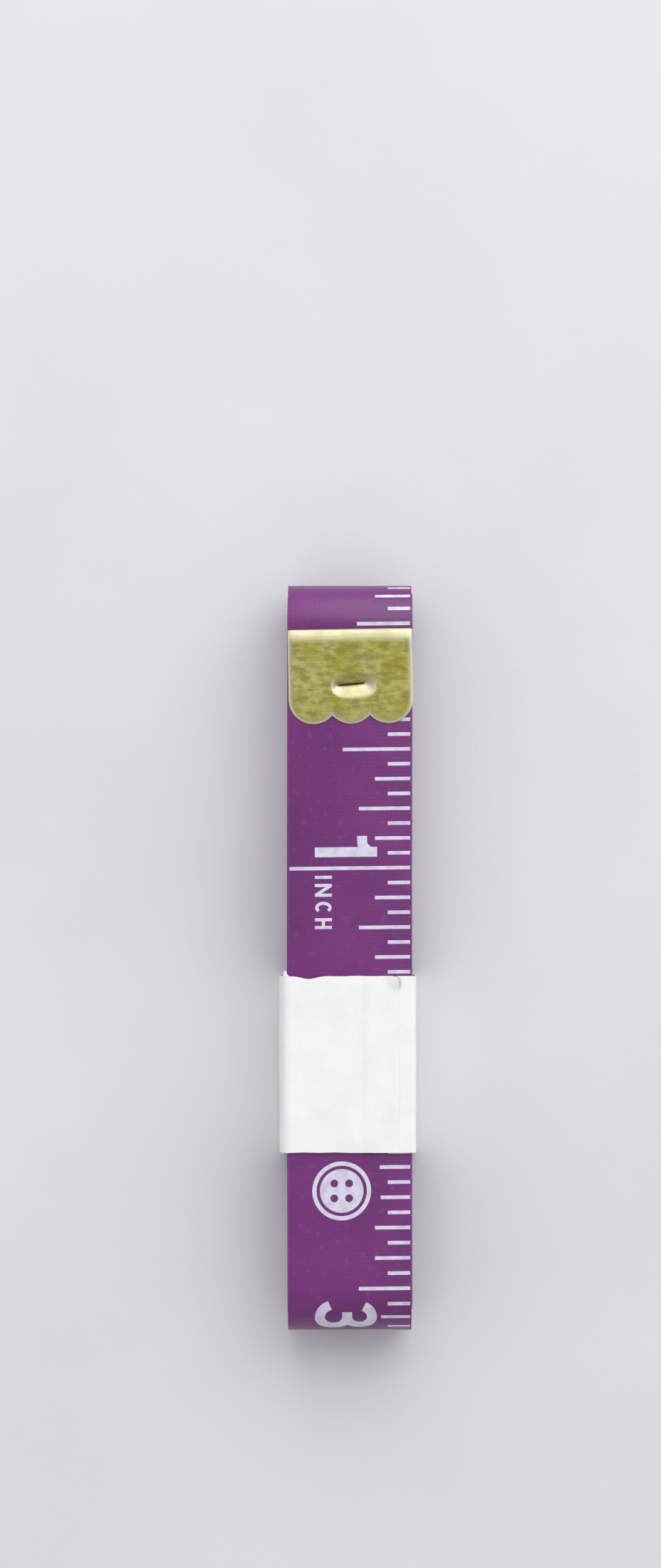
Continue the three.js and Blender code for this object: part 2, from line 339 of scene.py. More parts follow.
# %% Cut a hole in the strip
CRATER_AT = Vector((0.35, -6.0, 0))
HOLE = (2.67, 1.67)
HOLE_REACH = 1.0
CRATER_FULLNESS = 0.8
OVAL_STEPS = 40

turned_round = Matrix.Translation((0, -end_to_end, 0)) @ Matrix.Rotation(math.pi, 4, "Z")


def oval(bm, half_sizes, middle, fullness=1.0, steps=OVAL_STEPS):
    """Draw the edges of an oval that lies flat. Below 1, fullness swells its four quarters."""
    made = bmesh.ops.create_circle(bm, cap_ends=False, radius=1, segments=steps)
    for vertex in made["verts"]:
        x, y = (math.copysign(abs(part) ** fullness, part) for part in vertex.co.xy)
        vertex.co = Vector((x * half_sizes[0], y * half_sizes[1], 0)) + Vector(middle)
    return list(dict.fromkeys(edge for vertex in made["verts"] for edge in vertex.link_edges))


def hole_cutter():
    bm = bmesh.new()
    outline = oval(bm, HOLE, CRATER_AT - Vector((0, 0, HOLE_REACH)), CRATER_FULLNESS)
    floor_of_cutter = bmesh.ops.edgeloop_fill(bm, edges=outline)["faces"]
    made = bmesh.ops.extrude_face_region(bm, geom=floor_of_cutter)
    bmesh.ops.translate(bm, verts=corners_of(made), vec=(0, 0, 2 * HOLE_REACH))
    bmesh.ops.recalc_face_normals(bm, faces=bm.faces)
    return bm


def holed(bm, at_far_end):
    """The strip with a hole near its zero end or near its far end."""
    cutter_mesh = bpy.data.meshes.new("hole_cutter")
    cutter = hole_cutter()
    if at_far_end:
        bmesh.ops.transform(cutter, matrix=turned_round, verts=cutter.verts)
    cutter.to_mesh(cutter_mesh)
    cutter.free()
    tool = bpy.data.objects.new("hole_cutter", cutter_mesh)
    bpy.context.scene.collection.objects.link(tool)
    cut = settled(bm, ("BOOLEAN", {"object": tool, "operation": "DIFFERENCE", "solver": "EXACT"}))
    bpy.data.objects.remove(tool)
    bpy.data.meshes.remove(cutter_mesh)
    return cut


# %% [markdown]
# ## Two pieces of one tape
#
# The strip is two pieces, because its free end lifts. They part under the band, where the joint can't be
# seen, and meet face to face. The short piece has many stations, because it bends in any pose but the
# one at rest.
#
# The weave has to follow the cloth round every fold. An unwrap would have to guess how the strip lay
# flat, so the flat place of every corner is written to a UV map before the strip is wound.

# %% The wound tape and the end that lifts
FACE, CUT_EDGE = 0, 1
FACE_SLOPE = 0.8
SEAM_BELOW_BAND_TOP = 3.55
LEAF_STEP = 0.2
WOUND_STEP = 4.0
FOLD_DEGREES = 6

seam = zero_y - band_high.y + SEAM_BELOW_BAND_TOP
leaf_stations = winding.stations(tape_start, seam, LEAF_STEP, FOLD_DEGREES)
wound_stations = winding.stations(seam, tape_end, WOUND_STEP, FOLD_DEGREES)


def keep_flat_map(bm):
    """Write each corner's flat place, in millimetres, to a UV map."""
    flat = bm.loops.layers.uv.new("flat")
    for face in bm.faces:
        for loop in face.loops:
            loop[flat].uv = loop.vert.co.xy


def tape_piece(name, stations, at_far_end):
    bm = flat_strip(stations)
    for face in bm.faces:
        face.material_index = FACE if abs(face.normal.z) > FACE_SLOPE else CUT_EDGE
    keep_flat_map(bm)
    bm = holed(bm, at_far_end)
    wind(bm)
    return to_object(bm, name)


lifting_tape = tape_piece("lifting_tape", leaf_stations, at_far_end=False)
wound_tape = tape_piece("wound_tape", wound_stations, at_far_end=True)

# %% [markdown]
# ## Lettering
#
# The numerals on the tape are a plain bold sans. A text object would need a font of just this kind on
# every computer, and only fourteen figures are wanted, so they are drawn like sign lettering: each is a
# few strokes of a pen, straight or along an oval. Sizes are in units of the numeral's height, with the
# corner at the lower left, and each figure starts with its width.

# %% Strokes of the figures
BOW_STEP_DEGREES = 12
LEAST_BOW_STEPS = 4


def bow(x, y, across, up, start, stop):
    """Points along an oval round x, y, from one angle to another in degrees."""
    steps = max(LEAST_BOW_STEPS, round(abs(stop - start) / BOW_STEP_DEGREES))
    angles = [math.radians(start + (stop - start) * i / steps) for i in range(steps + 1)]
    return [(x + across * math.cos(a), y + up * math.sin(a)) for a in angles]


SIX = [bow(0.30, 0.305, 0.22, 0.225, 0, 360), bow(0.33, 0.50, 0.25, 0.42, 55, 195)]
FIGURES = {
    "0": (0.60, [bow(0.30, 0.50, 0.22, 0.42, 0, 360)]),
    "1": (0.34, [[(0.26, 0), (0.26, 1)], [(0, 0.76), *bow(0.09, 0.90, 0.15, 0.14, -90, -15)]]),
    "2": (0.58, [
        [*bow(0.29, 0.69, 0.20, 0.23, 165, -40), (0.12, 0.12)],
        [(0.01, 0.08), (0.58, 0.08)],
    ]),
    "3": (0.60, [
        [*bow(0.29, 0.72, 0.20, 0.20, 160, -90), (0.20, 0.52)],
        [(0.20, 0.52), *bow(0.29, 0.30, 0.22, 0.22, 90, -165)],
    ]),
    "4": (0.62, [[(0.43, 0), (0.43, 1)], [(0.01, 0.29), (0.62, 0.29)], [(0.41, 0.94), (0.08, 0.31)]]),
    "5": (0.59, [
        [(0.09, 0.92), (0.54, 0.92)],
        [(0.14, 0.99), (0.10, 0.46)],
        bow(0.28, 0.345, 0.22, 0.265, 148, -160),
    ]),
    "6": (0.60, SIX),
    "7": (0.56, [[(0, 0.92), (0.56, 0.92)], [(0.46, 0.94), (0.17, 0.02)]]),
    "8": (0.60, [bow(0.30, 0.73, 0.18, 0.19, 0, 360), bow(0.30, 0.31, 0.22, 0.23, 0, 360)]),
    "9": (0.60, [[(0.60 - x, 1 - y) for x, y in stroke] for stroke in SIX]),
    "I": (0.22, [[(0.11, 0), (0.11, 1)]]),
    "N": (0.78, [[(0.10, 0), (0.10, 1)], [(0.11, 0.94), (0.67, 0.06)], [(0.68, 0), (0.68, 1)]]),
    "C": (0.70, [bow(0.37, 0.50, 0.26, 0.39, 45, 315)]),
    "H": (0.68, [[(0.11, 0), (0.11, 1)], [(0.57, 0), (0.57, 1)], [(0.11, 0.50), (0.57, 0.50)]]),
}
print(f"{len(FIGURES)} figures")

# %% [markdown]
# ## A film of ink
#
# Print is often a picture on a surface, but a picture goes soft when the camera comes near. Here the ink
# is a film with a thickness that can just be felt, which stays crisp. It starts inside the tape, so that
# no gap opens under it where the tape is bent. A stroke is stood on edge as a thin wall and is thickened
# to the width of the pen, which gives square ends, and the strokes of a figure are joined into one solid.

# %% Ink one figure
INK_HEIGHT = 0.015
INK_SUNK = 0.03
CLOSED_WITHIN = 0.01


def inked_figure(figure, height, pen):
    """A figure as one solid film of ink, upright, with its corner at the origin."""
    bm = bmesh.new()
    for stroke in FIGURES[figure][1]:
        corners = [bm.verts.new((x * height, y * height, -INK_SUNK)) for x, y in stroke]
        if (corners[0].co - corners[-1].co).length < CLOSED_WITHIN * pen:
            bm.verts.remove(corners[-1])
            corners[-1] = corners[0]
        for near, far in zip(corners, corners[1:]):
            bm.edges.new((near, far))
    made = bmesh.ops.extrude_edge_only(bm, edges=bm.edges[:])
    bmesh.ops.translate(bm, verts=corners_of(made), vec=(0, 0, INK_SUNK + INK_HEIGHT))
    joined = {"operand_type": "COLLECTION", "operation": "UNION", "solver": "EXACT", "use_self": True}
    return settled(
        bm,
        ("SOLIDIFY", {"thickness": pen, "offset": 0, "use_even_offset": True}),
        ("BOOLEAN", joined),
    )


# %% [markdown]
# ## Words along the tape
#
# Each inch has its numeral just before its line, turned a quarter so that it is read along the tape, and
# the first is followed by its unit. To ink every figure afresh would be slow, because each takes a
# boolean. Each is made once for each size, kept as a template, and copied to its places.

# %% Copy figures to their places
INCH = 25.4
NUMERAL = {"height": 6.55, "pen": 1.05, "space": 0.85}
UNIT = {"height": 1.8, "pen": 0.33, "space": 0.49}
BASE_X = -3.68

templates = {}


def add_copy(bm, part, place):
    """Add a copy of a mesh to a bmesh, moved to its place."""
    moved = part.copy()
    moved.transform(place)
    bm.from_mesh(moved)
    bpy.data.meshes.remove(moved)


def as_mesh(bm):
    mesh = bpy.data.meshes.new("template")
    bm.to_mesh(mesh)
    bm.free()
    return mesh


def write(bm, words, along, height, pen, space):
    """Write words along the tape, their tops to the right, starting at a distance from zero."""
    for figure in words:
        if (figure, height) not in templates:
            templates[figure, height] = as_mesh(inked_figure(figure, height, pen))
        place = Matrix.Translation((BASE_X, -along, tape_thickness / 2))
        add_copy(bm, templates[figure, height], place @ Matrix.Rotation(math.radians(-90), 4, "Z"))
        along += FIGURES[figure][0] * height + space


def length_of(words, height, space):
    return sum(FIGURES[figure][0] * height + space for figure in words) - space


# %% [markdown]
# ## A printed button
#
# A little picture of a sewing button fills the space after the second inch. It is a ring and a disc with
# four holes. Booleans could cut the holes, but faces that are filled between circles come out cleaner,
# and they only need the thickness of the ink.

# %% Ink the button
BUTTON_AT = (-0.85, 59.6)
RING = (3.1, 2.65)
DISC = 2.3
THREAD_HOLE = 0.42
THREAD_HOLE_FROM_MIDDLE = 0.78
THREAD_HOLE_STEPS = 12


def inked_button():
    bm = bmesh.new()
    ring = [edge for radius in RING for edge in oval(bm, (radius, radius), (0, 0, -INK_SUNK))]
    bmesh.ops.triangle_fill(bm, use_beauty=True, use_dissolve=False, edges=ring)
    disc = oval(bm, (DISC, DISC), (0, 0, -INK_SUNK))
    for x in (-THREAD_HOLE_FROM_MIDDLE, THREAD_HOLE_FROM_MIDDLE):
        for y in (-THREAD_HOLE_FROM_MIDDLE, THREAD_HOLE_FROM_MIDDLE):
            disc += oval(bm, (THREAD_HOLE, THREAD_HOLE), (x, y, -INK_SUNK), steps=THREAD_HOLE_STEPS)
    bmesh.ops.triangle_fill(bm, use_beauty=True, use_dissolve=False, edges=disc)
    made = bmesh.ops.extrude_face_region(bm, geom=bm.faces[:])
    bmesh.ops.translate(bm, verts=corners_of(made), vec=(0, 0, INK_SUNK + INK_HEIGHT))
    bmesh.ops.recalc_face_normals(bm, faces=bm.faces)
    return bm


button = as_mesh(inked_button())
print(f"button of {len(button.polygons)} faces")

# %% [markdown]
# ## One inch of the scale
#
# Every sixteenth of an inch has a tick from the right-hand edge, and its length tells what it is: the
# rarer the mark, the longer the tick, up to the inch line that crosses the tape. An Array modifier could
# repeat ticks of one length, but the rule for the lengths is shorter than four arrays, so a loop asks
# for the length of each mark. Ticks are kept short beside a numeral and beside the button, a few others
# are short on this tape, and none is drawn where a clip's crater has gone through it.
#
# A perfect scale would look drawn, not printed. The press ran a little askew, so the ink is skewed. Its
# roller was a little out of true, so the scale runs up to half a millimetre early, then late, once in
# each turn of the roller.

# %% Ink one inch
SIXTEENTHS = 16
TICK_WIDTH = 0.38
TICK_LENGTHS = {8: 7.1, 4: 5.4, 2: 3.7, 1: 2.35}
SHORT_TICKS = {6: 3.25, 36: 3.2, 38: 3.1, 40: 3.7, 104: 5.6}
INK_MARGIN = 0.15
NUMERAL_BEFORE_LINE = 1.2
NUMERAL_EASE = 0.4
TICK_BESIDE_NUMERAL = 3.05
UNIT_INCH = 2
UNIT_AFTER_LINE = 0.75
BUTTON_INCH = 3
PRINT_SKEW = math.radians(0.65)
ROLLER_ROUND = 176.0
ROLLER_SWING = 0.5
ROLLER_START = 12.0

inch_count = round(TAPE_LENGTH / INCH)
clear_of_crater = HOLE[1] - CRATER_AT.y


def numeral_length(inch):
    return length_of(str(inch), NUMERAL["height"], NUMERAL["space"])


def tick_length(mark):
    if mark % SIXTEENTHS == 0:
        return tape_width - 2 * INK_MARGIN
    length = next(length for part, length in TICK_LENGTHS.items() if mark % part == 0)
    length = SHORT_TICKS.get(mark, length)
    to_line = (SIXTEENTHS - mark % SIXTEENTHS) * INCH / SIXTEENTHS
    beside = NUMERAL_BEFORE_LINE + numeral_length(mark // SIXTEENTHS + 1) - NUMERAL_EASE
    return min(length, TICK_BESIDE_NUMERAL) if to_line < beside else length


def inked_inch(inch):
    """The ink from one inch line to the next, on the flat tape."""
    bm = bmesh.new()
    film = INK_HEIGHT + INK_SUNK
    film_z = tape_thickness / 2 + (INK_HEIGHT - INK_SUNK) / 2
    for mark in range((inch - 1) * SIXTEENTHS + 1, inch * SIXTEENTHS + 1):
        along = mark * INCH / SIXTEENTHS
        if min(along, end_to_end - along) > clear_of_crater:
            length = tick_length(mark)
            middle = Vector((tape_width / 2 - INK_MARGIN - length / 2, -along, film_z))
            size = Matrix.Diagonal((length, TICK_WIDTH, film, 1))
            bmesh.ops.create_cube(bm, matrix=Matrix.Translation(middle) @ size)
    if inch < inch_count:
        start = inch * INCH - NUMERAL_BEFORE_LINE - numeral_length(inch)
        write(bm, str(inch), start, **NUMERAL)
    if inch == UNIT_INCH:
        write(bm, "INCH", (inch - 1) * INCH + UNIT_AFTER_LINE, **UNIT)
    if inch == BUTTON_INCH:
        add_copy(bm, button, Matrix.Translation((BUTTON_AT[0], -BUTTON_AT[1], tape_thickness / 2)))
    skew = Matrix.Identity(4)
    skew[1][0] = math.tan(PRINT_SKEW)
    bmesh.ops.transform(bm, matrix=skew, verts=bm.verts)
    for vertex in bm.verts:
        turned = 2 * math.pi * (-vertex.co.y - ROLLER_START) / ROLLER_ROUND
        vertex.co.y += ROLLER_SWING * math.sin(turned)
    return bm


# %% [markdown]
# ## The print on both faces
#
# The other face has the same scale from the other end, so either end can be the zero. That is the print
# turned over with the tape. A Shrinkwrap modifier could lay the print on the wound tape, but it would
# mix up the layers. Instead each inch is cut where the tape has its stations, so that the ink bends just
# as the tape does. A cut close to a corner leaves specks, faces too small to see, which are dissolved.
# Then the inch joins the piece that its stretch of tape belongs to, and is wound.

# %% Print both faces
SPECK = 0.001

turned_over = Matrix.Translation((0, -end_to_end, 0)) @ Matrix.Rotation(math.pi, 4, "X")


def cut_at_stations(bm, stations):
    low = min((-vertex.co.y for vertex in bm.verts), default=0)
    high = max((-vertex.co.y for vertex in bm.verts), default=0)
    for station in stations[bisect.bisect(stations, low) : bisect.bisect(stations, high)]:
        everything = [*bm.verts, *bm.edges, *bm.faces]
        bmesh.ops.bisect_plane(bm, geom=everything, plane_co=(0, -station, 0), plane_no=(0, 1, 0))


def print_piece(name, stations):
    whole = bmesh.new()
    for inch in range(1, inch_count + 1):
        drawn = as_mesh(inked_inch(inch))
        for side in (Matrix.Identity(4), turned_over):
            part = bmesh.new()
            add_copy(part, drawn, side)
            strays = [v for v in part.verts if not stations[0] < -v.co.y < stations[-1]]
            bmesh.ops.delete(part, geom=strays, context="VERTS")
            cut_at_stations(part, stations)
            bmesh.ops.dissolve_degenerate(part, dist=SPECK, edges=part.edges)
            cut = as_mesh(part)
            whole.from_mesh(cut)
            bpy.data.meshes.remove(cut)
        bpy.data.meshes.remove(drawn)
    keep_flat_map(whole)
    wind(whole)
    return to_object(whole, name)


lifting_print = print_piece("lifting_print", leaf_stations)
wound_print = print_piece("wound_print", wound_stations)

# %% [markdown]
# ## The brass clips
#
# A clip is thin sheet, folded over the tape's end. Its two plates end in three lobes. They could be cut
# from a box, but sheet metal has one thickness everywhere, also where it is bent, so only its skin is
# drawn, and the thickness comes last.
#
# A plate starts as four outlines, one inside the other, whose heights make a rim that is pressed down a
# little, and the outlines are bridged. An inset would be quicker, but it throws spikes at the notches
# between the lobes. Each vertex also keeps a number for how worn it is and how much highlight is painted
# on it, which the finish reads later as paler brass. Each outline of the rim says how far in it is, how
# far down, and how much wear and painted highlight it carries.

# %% Draw the outline of a plate
LOBES = 3
LOBE_PITCH = 3.95
LOBE_STEPS = 12
FOLD_REACH = 1.5
# Each outline of the rim: how far in, how far down, and how much wear and painted highlight it carries.
RIM = ((0.0, 0.14, 2.0), (0.10, 0.05, 1.8), (0.34, 0.0, 0.45), (0.60, 0.0, 0.0))

clip_width = clip_high.x - clip_low.x
clip_length = clip_high.y - clip_low.y
skin_z = (clip_high.z - clip_low.z) / 2
lobe_radius = clip_width / 2 - LOBE_PITCH * (LOBES - 1) / 2
lobe_y = lobe_radius - clip_length
print(f"clip {clip_width:.1f} by {clip_length:.1f} mm, lobes {lobe_radius:.2f} mm in radius")


def swing(bm, vertex, centre, angle):
    """Draw an arc of edges from a vertex round a centre, and give the vertex where it ends."""
    made = bmesh.ops.spin(bm, geom=[vertex], cent=centre, axis=(0, 0, 1), angle=angle, steps=LOBE_STEPS)
    return next(item for item in made["geom_last"] if isinstance(item, bmesh.types.BMVert))


def lobed_outline(bm, inset, z, rim_wear_and_highlight):
    """Draw a plate's outline from one end of the fold, round the lobes, to the other end."""
    before = set(bm.edges)
    wear_and_highlight = bm.verts.layers.float["wear_and_highlight"]
    half, radius = clip_width / 2 - inset, lobe_radius - inset
    notch = math.acos(LOBE_PITCH / 2 / radius)
    tip = bm.verts.new((half, lobe_y, z))
    bm.edges.new((bm.verts.new((half, -FOLD_REACH, z)), tip))
    for lobe in range(LOBES):
        x = LOBE_PITCH * ((LOBES - 1) / 2 - lobe)
        notches = (lobe > 0) + (lobe < LOBES - 1)
        tip = swing(bm, tip, (x, lobe_y, z), notch * notches - math.pi)
    bm.edges.new((tip, bm.verts.new((-half, -FOLD_REACH, z))))
    drawn = [edge for edge in bm.edges if edge not in before]
    # The outline's share of wear and painted highlight, which the finish turns into paler brass.
    for vertex in {vertex for edge in drawn for vertex in edge.verts}:
        vertex[wear_and_highlight] = rim_wear_and_highlight
    return drawn


# %% [markdown]
# ## The crater
#
# A punch has driven an oval crater through the front plate, the tape and the back plate, which locks
# them. It narrows to a slit that lies a little aside and askew, because the punch tore the sheet there.
# A boolean would leave a wall with no lip. Here the crater's wall is the mouth's own edge, extruded ring
# by ring, and each ring is the same oval, moved, turned and scaled by a share of the way to the slit.
# Each ring of the funnel says how far in it is and how far down.

# %% Draw the plates and the crater's wall
MOUTH = (2.45, 1.45)
SLIT = (1.35, 0.03)
SLIT_MOVE = Vector((-0.30, 0.20, 0))
SLIT_TURN = math.radians(4.7)
FUNNEL = (
    (0.10, 0.01),
    (0.20, 0.04),
    (0.32, 0.10),
    (0.50, 0.23),
    (0.70, 0.38),
    (0.88, 0.52),
    (0.97, 0.72),
    (1.0, 1.0),
)
# Painted highlight on the crater's lower and side walls; on the upper side it fades deeper down, as painted
# shade.
LOWER_WALL_HIGHLIGHT, LOWER_WALL_REACH = 0.6, 0.75
SIDE_WALL_HIGHLIGHT, SHADED_REACH = 1.1, 0.5
TOUCHING = 1e-5


def crater_ring(share, depth):
    """What takes an oval of size 1 to the crater's wall, by shares of the way in and of the way down."""
    sizes = [wide + (narrow - wide) * share for wide, narrow in zip(MOUTH, SLIT)]
    middle = CRATER_AT + SLIT_MOVE * share + Vector((0, 0, skin_z * (1 - 2 * depth)))
    turn = Matrix.Rotation(SLIT_TURN * share, 4, "Z")
    return Matrix.Translation(middle) @ turn @ Matrix.Diagonal((*sizes, 1, 1))


def on_fold_line(vertex):
    return abs(vertex.co.y + FOLD_REACH) < TOUCHING


def clip_plate(bm, side, crater_place):
    """Draw the front plate, side 1, or the back plate, side -1, and give the edges of its crater."""
    outlines = [lobed_outline(bm, inset, side * (skin_z - drop), rim_wear_and_highlight) for inset, drop, rim_wear_and_highlight in RIM]
    for outer, inner in zip(outlines, outlines[1:]):
        bmesh.ops.bridge_loops(bm, edges=outer + inner)
    field = outlines[-1]
    ends = [vertex for edge in field for vertex in edge.verts if on_fold_line(vertex)]
    crater = oval(bm, (1, 1), (0, 0, 0), CRATER_FULLNESS)
    corners = list({vertex for edge in crater for vertex in edge.verts})
    bmesh.ops.transform(bm, matrix=crater_place, verts=corners)
    drawn = [*field, bm.edges.new(ends), *crater]
    bmesh.ops.triangle_fill(bm, use_beauty=True, use_dissolve=False, edges=drawn)
    return crater


def funnel(bm, ring):
    """Extrude the crater's mouth, ring by ring, to the slit.

    Its lower and side walls carry a painted highlight, fading as painted shade deep on the upper side, but
    not the slit, because that belongs to the back plate too.
    """
    wear_and_highlight = bm.verts.layers.float["wear_and_highlight"]
    place = crater_ring(0, 0)
    for share, depth in FUNNEL:
        made = bmesh.ops.extrude_edge_only(bm, edges=ring)
        ring = free_edges_of(made)
        back = place.inverted()
        for vertex in corners_of(made):
            side = back @ vertex.co
            # Painted highlight on the lower wall and on the side walls, less of it deep on the upper side as
            # painted shade.
            below = LOWER_WALL_HIGHLIGHT * smooth_step(LOWER_WALL_REACH - side.y)
            beside = SIDE_WALL_HIGHLIGHT * (1 - share * smooth_step(SHADED_REACH + side.y)) * side.x**2
            vertex[wear_and_highlight] = below + beside
        place = crater_ring(share, depth)
        bmesh.ops.transform(bm, matrix=place @ back, verts=corners_of(made))
    for vertex in corners_of(made):
        vertex[wear_and_highlight] = 0.0


# %% [markdown]
# ## Fold the sheet
#
# The fold is the front plate's straight edge, spun half a turn to the back plate. A spin makes it round,
# as if the sheet were bent round a rod, so it is then stretched towards the plates, because this sheet
# was pressed flat. The top of the fold stands out, and it is worn and carries a painted highlight, as
# paler brass. Last, Solidify gives the skin its thickness, inwards, and a small bevel breaks the cut edges.

# %% Fold a clip and give it thickness
CLIP_SHEET = 0.22
FOLD_STEPS = 14
FOLD_WEAR_AND_HIGHLIGHT = 2.2
EDGE_BREAK = 0.04
EDGE_BREAK_ANGLE = math.radians(60)
WELD = 1e-4


def fold(bm, edges):
    middle = (0, -FOLD_REACH, 0)
    bmesh.ops.spin(bm, geom=edges, cent=middle, axis=(1, 0, 0), angle=-math.pi, steps=FOLD_STEPS)
    wear_and_highlight = bm.verts.layers.float["wear_and_highlight"]
    for vertex in bm.verts:
        out = vertex.co.y + FOLD_REACH
        if out > 0:
            radius = math.hypot(out, vertex.co.z)
            vertex.co.y = out * (FOLD_REACH - skin_z + radius) / radius - FOLD_REACH
            # The top of the fold gets wear and a painted highlight.
            vertex[wear_and_highlight] = max(vertex[wear_and_highlight], smooth_step(FOLD_WEAR_AND_HIGHLIGHT * out / radius))


def clip_solid():
    bm = bmesh.new()
    bm.verts.layers.float.new("wear_and_highlight")
    mouth = clip_plate(bm, 1, crater_ring(0, 0))
    fold(bm, [edge for edge in bm.edges if all(on_fold_line(vertex) for vertex in edge.verts)])
    funnel(bm, mouth)
    clip_plate(bm, -1, crater_ring(1, 1))
    bmesh.ops.remove_doubles(bm, verts=bm.verts, dist=WELD)
    bmesh.ops.recalc_face_normals(bm, faces=bm.faces)
    broken_edges = {
        "width": EDGE_BREAK,
        "affect": "EDGES",
        "segments": 2,
        "profile": 0.5,
        "material": -1,
        "limit_method": "ANGLE",
        "angle_limit": EDGE_BREAK_ANGLE,
    }
    return settled(bm, ("SOLIDIFY", {"thickness": CLIP_SHEET, "offset": -1}), ("BEVEL", broken_edges))


# %% [markdown]
# ## Place the clips
#
# The clip at zero sits on the free end, a degree askew as it was crimped. The far clip is the same piece
# turned over, on the tape's other end in the core. It could be a linked copy, but an object here keeps
# its place in its mesh, so it is made again.

# %% Place the clips
CLIP_TILT = math.radians(0.9)
CLIP_SHARP_DEGREES = 50


def clip_piece(name, place):
    bm = clip_solid()
    bmesh.ops.transform(bm, matrix=place, verts=bm.verts)
    return to_object(bm, name, CLIP_SHARP_DEGREES)


far_z = (far_low.z + far_high.z) / 2
zero_place = Matrix.Translation((0, zero_y, leaf_z)) @ Matrix.Rotation(CLIP_TILT, 4, "Z")
far_place = Matrix.Translation((0, far_high.y, far_z)) @ Matrix.Rotation(math.pi, 4, "Y")
zero_clip = clip_piece("zero_clip", zero_place)
far_clip = clip_piece("far_clip", far_place)

# %% [markdown]
# ## The paper band
#
# The band is a strip of paper that goes once round the bundle and laps over its own start on the front.
# A box with its ends removed would look like it from afar, but the lap is what tells paper from card. So
# it has a route of its own, seen along the bundle: round the four corners, up a short ramp of two small
# turns, and on over its own start. On the front the solid is two sheets high, so the middle of the lower
# sheet, where the route starts, is one and a half sheets below its top.

# %% The route of the band
PAPER = 0.13
CAD_PAPER = 0.15
BAND_CORNER = 0.6
LAP_START = 2.2
LAP_END = 5.2
LAP_RAMP = 1.2

quarter = math.pi / 2
front_z = band_high.z - 1.5 * CAD_PAPER
side_x = band_high.x - CAD_PAPER / 2
base_z = band_low.z + CAD_PAPER / 2
ramp_angle = 2 * math.atan(CAD_PAPER / LAP_RAMP)
ramp_radius = LAP_RAMP / 2 / math.sin(ramp_angle)

band_route = Route((LAP_START, front_z), (1, 0))
band_route.straight(side_x - BAND_CORNER - LAP_START)
for length in (front_z - base_z, 2 * side_x, front_z - base_z):
    band_route.turn(BAND_CORNER, -quarter)
    band_route.straight(length - 2 * BAND_CORNER)
band_route.turn(BAND_CORNER, -quarter)
band_route.straight(LAP_START - LAP_RAMP + side_x - BAND_CORNER)
band_route.turn(ramp_radius, ramp_angle)
band_route.turn(ramp_radius, -ramp_angle)
band_route.straight(LAP_END - LAP_START)

band_height = band_high.y - band_low.y
band_middle_y = (band_high.y + band_low.y) / 2
print(f"paper strip {band_route.length:.1f} mm long, {band_height:.1f} mm wide")

# %% [markdown]
# ## The habits of paper
#
# Paper stands off the bundle at the sides, its scissor-cut edges wander, a point sticks up at one corner
# with a dip beside it, and a corner of the lap has come unstuck and curls. A cloth simulation would
# stretch the paper before it creased, and wouldn't crease it in these places. Each habit is written as a
# small bump at its own place instead: first how far a point stands off the route, and how far up its
# edge has moved.

# %% Crease the paper and trim its edges
LEFT_SWELL = 0.45
RIGHT_SWELL = 0.05
CRUMPLE = 0.05
CRUMPLE_LEAST = 0.6
CRUMPLE_WAVES = (0.3, 0.22)
CRUMPLE_SEED = 4.0
CURL_SIZE = 1.9
CURL_HEIGHT = 0.45
EDGE_WANDER = 0.10
WANDER_WAVE = 0.35
WANDER_SEEDS = (9.0, 3.0)
EDGE_FADE = 2.0
TOP_TRIM = 0.12
DIP_AT = 2.5
DIP_WIDTH = 1.1
DIP_DEPTH = 0.3
POINT_HEIGHT = 0.65
POINT_WIDTH = 0.24

left_corner = band_route.length - (LAP_END + side_x)


def bump_at(value, middle, width):
    return math.exp(-(((value - middle) / width) ** 2))


def stand_off(distance, up):
    """How far a point of the paper stands off its route."""
    place, heading = band_route.at(distance)
    on_side = abs(heading.y) * math.sin(math.pi * (place.y - base_z) / (front_z - base_z))
    swell = max(0.0, on_side) * (LEFT_SWELL if place.x < 0 else RIGHT_SWELL)
    crumpled_at = Vector((distance * CRUMPLE_WAVES[0], up * CRUMPLE_WAVES[1], CRUMPLE_SEED))
    crumple = CRUMPLE * (CRUMPLE_LEAST + noise.noise(crumpled_at))
    from_corner = math.hypot(band_route.length - distance, band_height / 2 - up)
    return swell + crumple + CURL_HEIGHT * smooth_step(1 - from_corner / CURL_SIZE)


def edge_rise(distance, up):
    """How far a point has moved up, because an edge of the paper wanders."""
    along_edge = Vector((distance * WANDER_WAVE, WANDER_SEEDS[0], math.copysign(WANDER_SEEDS[1], up)))
    wander = EDGE_WANDER * noise.noise(along_edge)
    point = POINT_HEIGHT * bump_at(distance, left_corner, POINT_WIDTH)
    dip = DIP_DEPTH * bump_at(distance, left_corner + DIP_AT, DIP_WIDTH)
    at_top = smooth_step(1 - (band_height / 2 - up) / EDGE_FADE)
    at_foot = smooth_step(1 - (band_height / 2 + up) / EDGE_FADE)
    return at_top * (wander + point - dip - TOP_TRIM) + at_foot * wander


# %% [markdown]
# The curled corner of the lap is round, and the layer under it has a painted shade along its edge. The
# points of the grid that lie outside the round are drawn in to it, which a knife cut would do with more
# faces. The painted shade is a number on each vertex, for the finish to read.

# %% Round the curled corner and paint shade on the layer under its edge
CURL_ROUND = 0.85
# Width and strength of the painted shade under the lifted corner.
CORNER_SHADE_WIDTH = 0.14
CORNER_SHADE_DARKNESS = 0.75


